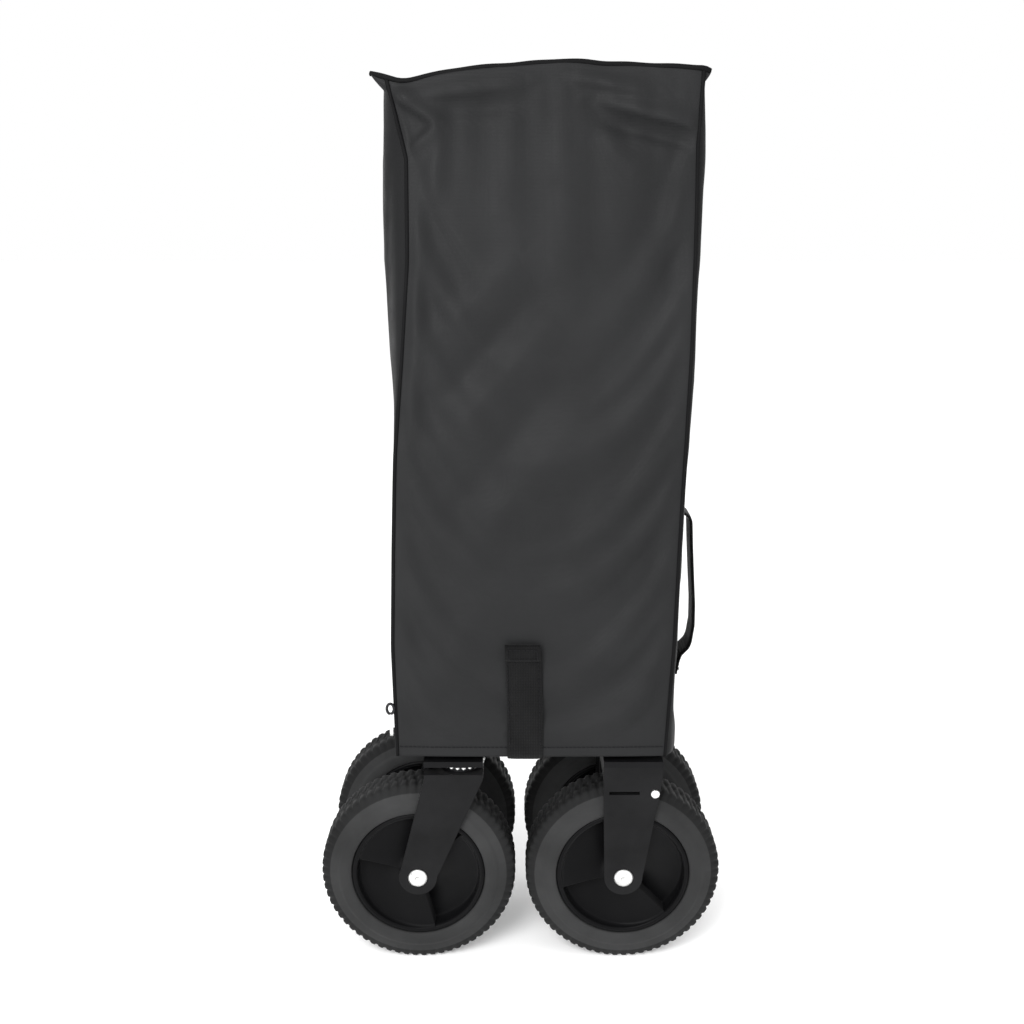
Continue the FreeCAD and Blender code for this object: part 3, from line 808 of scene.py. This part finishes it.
def carry_handle():
    """Webbing loop on the rear gusset, sewn down at both ends, with a flat tail below."""
    lowest, highest = low("carry_handle"), high("carry_handle")
    wall = lowest.x + 1.6 * MM
    y = (lowest.y + highest.y) / 2
    tall = highest.z - lowest.z
    path = [(wall + out * MM, y, lowest.z + tall * share) for share, out in HANDLE_LINE]
    ribbon("cover_carry_handle", path, highest.y - lowest.y, 3.4 * MM, (0, 1, 0), "cover",
           replaces="carry_handle")
    x = wall - 0.6 * MM
    edge = (highest.y - lowest.y) / 2 - 3 * MM
    start, end = lowest.z + 3 * MM, lowest.z + 13 * MM
    cross = [[(x, y - edge, start), (x, y + edge, start), (x, y + edge, end),
              (x, y - edge, end), (x, y - edge, start)], [(x, y - edge, start), (x, y + edge, end)]]
    stitches("carry_handle_stitching", cross, (1, 0, 0), "cover")


def zip_pull():
    """A small oval ring with a slim metal tongue, at the foot of the front gusset."""
    lowest, highest = low("zip_pull"), high("zip_pull")
    x, y = (lowest.x + highest.x) / 2, (lowest.y + highest.y) / 2
    wide, tall = 3.4 * MM, 5.2 * MM
    centre = highest.z - tall - 1 * MM
    ring = [(x + wide * math.cos(t), y, centre + tall * math.sin(t))
            for t in np.linspace(0, 2 * math.pi, 33)]
    points, faces = tube_along(ring, 1.4 * MM, 8)
    piece = orient(make("zip_ring", points, faces, DARK_STEEL, "cover"))
    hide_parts("zip_pull")
    foot = centre - tall
    tongue = [(x, y, foot), (x + 0.4 * MM, y, foot - 8 * MM), (x + 0.8 * MM, y, lowest.z)]
    ribbon("zip_tongue", tongue, 3.4 * MM, 1.4 * MM, (1, 0, 0), "cover", finish=ZINC)


# ---------------------------------------------------------------- wheels

RIM_EDGE = 67 * MM
TREAD_START = RIM_EDGE + 22.5 * MM
LUGS, TREAD_RIB = 66, 4.8 * MM


def tyre(corner):
    """Solid tyre: a pale flat ring by the rim, a darker shoulder and three rows of lugs."""
    node = f"{corner}_tyre"
    centre, size = middle(node), high(node) - low(node)
    outer, half = size.z / 2, size.y / 2
    bead = RIM_EDGE
    half_profile = [
        (bead, half - 6 * MM), (bead + 0.3 * MM, half - 1.6 * MM), (bead + 1.4 * MM, half - 0.5 * MM),
        (bead + 5 * MM, half), (bead + 11 * MM, half - 0.3 * MM), (bead + 13 * MM, half - 0.9 * MM),
        (bead + 14 * MM, half - 1.6 * MM), (bead + 15.6 * MM, half - 2.0 * MM),
        (bead + 19 * MM, half - 2.6 * MM), (bead + 22 * MM, half - 3.4 * MM),
        (bead + 24 * MM, half - 4.0 * MM), (outer - 5 * MM, half - 4.6 * MM),
        (outer - 3 * MM, half - 5.4 * MM), (outer - 1.4 * MM, half - 6.4 * MM),
        (outer - 0.5 * MM, half - 8 * MM), (outer - 0.1 * MM, half - 10 * MM),
        (outer, 5.6 * MM), (outer, 4.6 * MM), (outer, 0.0),
    ]
    profile = half_profile + [(r, -y) for r, y in reversed(half_profile[:-1])]

    def tread(radius, across, angle):
        row = np.where(across > TREAD_RIB, 0.0, np.where(across < -TREAD_RIB, 0.5, 0.25))
        phase = (angle * LUGS / (2 * math.pi) + row) % 1.0
        block = smooth(0.06, 0.16, phase) * (1 - smooth(0.66, 0.76, phase))
        shoulder = smooth(outer - 8 * MM, outer - 3 * MM, radius)
        groove = 1.4 * MM * (1 - block) * shoulder
        rib = 1.2 * MM * np.exp(-((np.abs(across) - TREAD_RIB) / (0.7 * MM)) ** 2) * shoulder
        side = smooth(bead + 19 * MM, bead + 24 * MM, radius) * (1 - block) * 0.4 * MM
        return radius - groove - rib, across - np.sign(across) * side

    piece = revolve(f"{corner}_tread_tyre", profile, centre, LUGS * 8, TYRE,
                    f"{corner}_wheel", tread)
    piece.data.materials.append(TREAD)
    for polygon in piece.data.polygons:
        spot = polygon.center - centre
        if math.hypot(spot.x, spot.z) > TREAD_START:
            polygon.material_index = 1
    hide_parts(node)


def rim(corner):
    """Plastic wheel: three fan-shaped steps on each face, a lip and a hub boss."""
    node = f"{corner}_rim"
    centre, size = middle(node), high(node) - low(node)
    half = size.y / 2 - 1.5 * MM
    lip = RIM_EDGE
    steps_start = math.radians(165 if "front" in corner else 195)
    sector_turn = 2 * math.pi / 3
    radii = (6 * MM, 9 * MM, 12 * MM, 14.5 * MM, 15.4 * MM, 17 * MM, 24 * MM, 32 * MM, 40 * MM,
             48 * MM, 54 * MM, 58.5 * MM, 60.5 * MM, 61.6 * MM, 62.2 * MM, 64 * MM, lip - 0.8 * MM,
             lip - 0.15 * MM)
    angles = []
    for sector in range(3):
        start = sector * sector_turn
        angles.extend(start + np.concatenate([[0.004, 0.012], np.linspace(0.03, 2.06, 34),
                                              [2.084, 2.092]]))
    angles = np.array(angles)
    share = (angles % sector_turn) / sector_turn
    points, faces = [], []
    for side in (-1, 1):
        start = len(points)
        for radius in radii:
            dish = 2.5 * MM + 14.5 * MM * (1 - share) ** 1.3
            dish = dish + 1.6 * MM * math.sin(math.pi * min(radius / (60 * MM), 1.0))
            boss = 1 - float(smooth(14.5 * MM, 17.5 * MM, radius))
            edge = float(smooth(60.2 * MM, 62.4 * MM, radius))
            depth = dish * (1 - boss) * (1 - edge) + boss * 1.5 * MM + edge * 0.2 * MM
            if radius > lip - 0.5 * MM:
                depth = depth + 1.4 * MM
            turn = steps_start - side * angles
            x = centre.x + radius * np.cos(turn)
            z = centre.z + radius * np.sin(turn)
            y = centre.y + side * (half - depth)
            points.extend(zip(x, y, z))
        faces.extend(grid_faces(len(radii), len(angles), closed=True, start=start))
    piece = make(f"{corner}_wheel_disc", points, faces, WHEEL, f"{corner}_wheel")
    orient(piece)
    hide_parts(node)
    well = [(lip - 0.2 * MM, half - 1.5 * MM), (lip - 1.5 * MM, half - 6 * MM),
            (lip - 2.0 * MM, 0.0), (lip - 1.5 * MM, 6 * MM - half), (lip - 0.2 * MM, 1.5 * MM - half)]
    revolve(f"{corner}_rim_well", well, centre, 96, WHEEL, f"{corner}_wheel")


def axle(corner):
    """Zinc-plated axle with domed heads, each with a washer and a drive recess."""
    node = f"{corner}_axle"
    body = f"{corner}_caster" if "front" in corner else f"{corner}_corner"
    lowest, highest, centre = low(node), high(node), middle(node)
    head = (highest.z - lowest.z) / 2
    end = (highest.y - lowest.y) / 2
    dome = [(0.2 * MM, 2.0 * MM), (2.4 * MM, 2.0 * MM), (2.8 * MM, 0.3 * MM), (3.6 * MM, 0.0),
            (6 * MM, 0.4 * MM), (8 * MM, 1.3 * MM), (head - 0.6 * MM, 2.7 * MM),
            (head - 0.1 * MM, 3.5 * MM), (head - 0.2 * MM, 3.95 * MM), (5 * MM, 4.0 * MM)]
    profile = [(radius, depth - end) for radius, depth in dome]
    profile += [(radius, end - depth) for radius, depth in reversed(dome)]
    piece = revolve(f"{corner}_axle_bolt", profile, centre, 48, ZINC, body)
    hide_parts(node)


# ---------------------------------------------------------------- frame and basket

def dress_frame():
    """The metal and plastic parts keep their shape and get their finish and broken edges."""
    finishes = {"fork": COAT, "post": COAT, "block": PLASTIC, "hub": PLASTIC, "bearing": DARK_STEEL,
                "bracket": COAT, "tube": COAT, "stem": STEEL, "grip": GRIP}
    for name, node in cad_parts.items():
        if node.hide_render:
            continue
        finish = COAT if "_arm" in name else finishes.get(name.split("_")[-1])
        if finish is None:
            continue
        node.data.materials.clear()
        node.data.materials.append(finish)
        bevel(node, 0.7 * MM)


def fork_rivet(corner):
    """The bright rivet beside the slot of a fixed wheel's fork."""
    lowest, highest = low(f"{corner}_fork"), high(f"{corner}_fork")
    outside = lowest.y if "near" in corner else highest.y
    sign = math.copysign(1.0, outside)
    from_edge, sunk, from_top = 7 * MM, 1.8 * MM, 27.75 * MM
    centre = (highest.x - from_edge, outside - sign * sunk, highest.z - from_top)
    dome = [(0.2 * MM, 2.4 * MM), (3.6 * MM, 2.35 * MM), (4.1 * MM, 2.1 * MM),
            (4.3 * MM, 1.4 * MM), (4.3 * MM, -0.6 * MM)]
    profile = [(radius, sign * depth) for radius, depth in dome]
    revolve(f"{corner}_fork_rivet", profile, centre, 24, ZINC, f"{corner}_corner")


def bearing_race(corner):
    """The ring of bright balls that shows round a caster's swivel bearing."""
    lowest, highest, centre = (f(f"{corner}_swivel_bearing") for f in (low, high, middle))
    balls = 22
    circle = (highest.x - lowest.x) / 2 - 0.6 * MM
    ball = min(2.4 * MM, (highest.z - lowest.z) * 0.36)
    shape = bmesh.new()
    for step in range(balls):
        turn = step / balls * 2 * math.pi
        spot = Vector((centre.x + circle * math.cos(turn), centre.y + circle * math.sin(turn),
                       centre.z))
        made = bmesh.ops.create_icosphere(shape, subdivisions=2, radius=ball)
        bmesh.ops.translate(shape, verts=made["verts"], vec=spot)
    mesh = bpy.data.meshes.new(f"{corner}_bearing_balls")
    shape.to_mesh(mesh)
    shape.free()
    mesh.materials.append(ZINC)
    mesh.polygons.foreach_set("use_smooth", [True] * len(mesh.polygons))
    piece = bpy.data.objects.new(f"{corner}_bearing_balls", mesh)
    bpy.context.scene.collection.objects.link(piece)
    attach(piece, f"{corner}_caster")


def grip():
    """Ribbed grip on the end of the pulling handle."""
    lowest, highest, centre = low("handle_grip"), high("handle_grip"), middle("handle_grip")
    radius, half = (highest.z - lowest.z) / 2, (highest.y - lowest.y) / 2
    profile = [(0.5 * MM, -half)]
    for share in np.linspace(-1, 1, 61):
        edge = (1 - abs(share) ** 14) ** 0.5 if abs(share) < 1 else 0.35
        rib = 0.7 * MM * max(0.0, math.sin(share * half * 2 * math.pi / (6 * MM))) ** 2
        rib *= 1 if abs(share) < 0.8 else 0
        profile.append((max(radius * edge - rib, 0.5 * MM), share * half))
    profile.append((0.5 * MM, half))
    piece = revolve("pull_grip", profile, centre, 40, GRIP, "handle_stem")
    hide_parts("handle_grip")


def wall_sheet(side):
    """One basket wall, folded in pleats."""
    node = f"{side}_wall_fabric"
    post_low, post_high = low("front_near_post"), high("rear_far_post")
    inset = 12 * MM
    left, right = post_low.x + inset, post_high.x - inset
    near = post_low.y + inset
    foot, top = low(node).z + 7 * MM, high(node).z
    along_x = side in ("near", "far")
    start, end = (left, right) if along_x else (near, -near)
    offset = {"near": near, "far": -near, "front": left, "rear": right}[side]
    count, rows = 120, 40
    pleats = 6 if along_x else 3
    points = []
    for row in range(rows):
        share = row / (rows - 1)
        for column in range(count):
            s = column / (count - 1)
            pleat = 2.6 * MM * math.sin(math.pi * s) ** 0.3 * math.sin(2 * math.pi * pleats * s)
            hang = 1.0 * MM * math.sin(9 * s + 5 * share)
            level = foot + (top - foot) * share
            inward = -math.copysign(1.0, offset - (left + right) / 2 if not along_x else offset)
            out = offset + inward * (3 * MM + pleat + hang)
            run = start + (end - start) * s
            points.append((run, out, level) if along_x else (out, run, level))
    piece = make(f"{side}_basket_wall", points, grid_faces(rows, count), BASKET, None)
    thicken(piece, 1.2 * MM, 0.0)
    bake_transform(piece)
    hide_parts(node)


def floor_sheet(side):
    """Half of the padded floor, folded upright, with quilted puffs."""
    front, rear = f"{side}_front_floor_leaf", f"{side}_rear_floor_leaf"
    post_low, post_high = low("front_near_post"), high("rear_far_post")
    left, right = post_low.x + 12 * MM, post_high.x - 12 * MM
    y = middle(front).y
    foot, top = low(front).z - 13 * MM, high(front).z
    count, rows = 80, 50
    points = []
    for row in range(rows):
        share = row / (rows - 1)
        for column in range(count):
            s = column / (count - 1)
            quilt = abs(math.sin(3 * math.pi * s)) * abs(math.sin(2 * math.pi * share))
            puff = 2.2 * MM * quilt ** 0.5
            points.append((left + (right - left) * s, y + (puff if side == "far" else -puff) * -1,
                           foot + (top - foot) * share))
    piece = make(f"{side}_basket_floor", points, grid_faces(rows, count), BASKET, None)
    thicken(piece, 2.2 * MM, 0.0)
    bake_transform(piece)
    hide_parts(front, rear)


camera_and_light()
cover_shell()
cover_trim()
cover_strap()
carry_handle()
zip_pull()
for corner_name in CORNERS:
    tyre(corner_name)
    rim(corner_name)
    axle(corner_name)
for corner_name in ("front_near", "front_far"):
    bearing_race(corner_name)
for corner_name in ("rear_near", "rear_far"):
    fork_rivet(corner_name)
grip()
for side_name in ("near", "far", "front", "rear"):
    wall_sheet(side_name)
for side_name in ("near", "far"):
    floor_sheet(side_name)
dress_frame()
